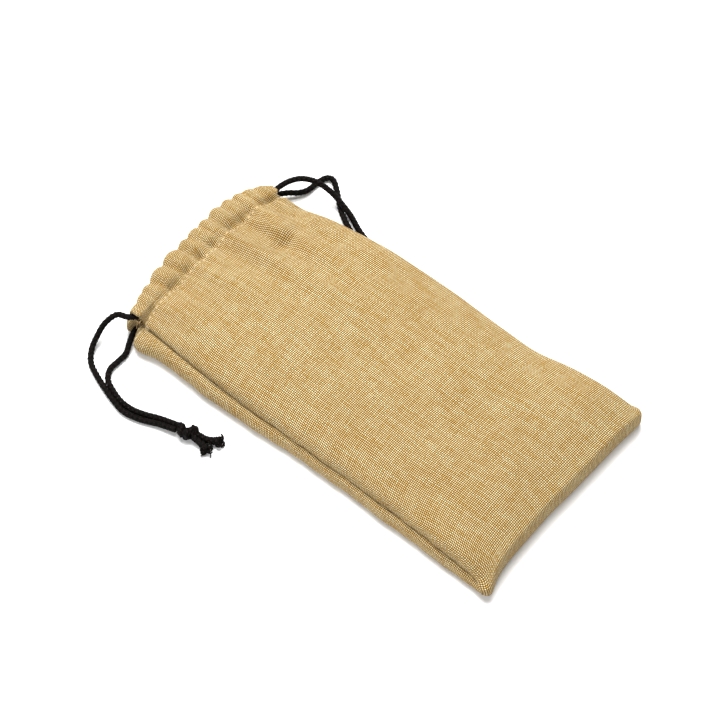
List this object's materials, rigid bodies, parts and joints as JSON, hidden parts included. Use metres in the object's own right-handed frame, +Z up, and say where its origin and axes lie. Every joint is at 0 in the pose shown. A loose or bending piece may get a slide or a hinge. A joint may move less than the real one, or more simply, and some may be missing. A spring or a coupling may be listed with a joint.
{
  "type": "drawstring herbal compress pouch",
  "caption": "Flat linen-look pouch with a folded bottom, gathered mouth and black braided drawstrings, holding a removable muslin herb sachet.",
  "frame": {"origin": "on the underside, below the middle of the pouch's length and width, measured without the free cords", "axes": "+X from the gathered mouth towards the folded bottom, +Y across towards the right-hand cord, +Z up"},
  "size_m": [0.1865, 0.1348, 0.0156],
  "materials": {
    "pouch_cloth": "matte",
    "thread": "matte",
    "cord": "satin",
    "muslin": "matte",
    "herbs": "matte"
  },
  "bodies": {
    "pouch": {"front_panel": "pouch_cloth", "back_panel": "pouch_cloth", "front_casing": "pouch_cloth", "back_casing": "pouch_cloth", "left_seam_allowance": "pouch_cloth", "right_seam_allowance": "pouch_cloth", "left_seam_stitching": "thread", "right_seam_stitching": "thread", "front_casing_stitching": "thread", "back_casing_stitching": "thread", "left_slit_tack": "thread", "right_slit_tack": "thread"},
    "left_drawstring": {"left_cord_run": "cord", "left_cord_front_strand": "cord", "left_cord_back_strand": "cord", "left_cord_knot": "cord", "left_cord_ends": "cord", "right_casing_end": "pouch_cloth"},
    "right_drawstring": {"right_cord_run": "cord", "right_cord_front_strand": "cord", "right_cord_back_strand": "cord", "right_cord_knot": "cord", "right_cord_ends": "cord", "left_casing_end": "pouch_cloth"},
    "sachet": {"sachet_cover": "muslin", "herb_fill": "herbs", "sachet_stitching": "thread"}
  },
  "joints": [
    {"name": "left_cord_pull", "type": "slide", "parent": "pouch", "child": "left_drawstring", "axis": [0, -1, 0], "range_m": [0, 0.025], "deforming": ["front_casing", "back_casing", "front_casing_stitching", "back_casing_stitching"]},
    {"name": "right_cord_pull", "type": "slide", "parent": "pouch", "child": "right_drawstring", "axis": [0, 1, 0], "range_m": [0, 0.025]},
    {"name": "sachet_slide", "type": "slide", "parent": "pouch", "child": "sachet", "axis": [-1, 0, 0], "range_m": [0, 0.182], "deforming": ["sachet_cover", "herb_fill", "sachet_stitching"]}
  ],
  "couplings": [
    {"joint": "right_cord_pull", "follows": "left_cord_pull", "ratio": 1}
  ]
}
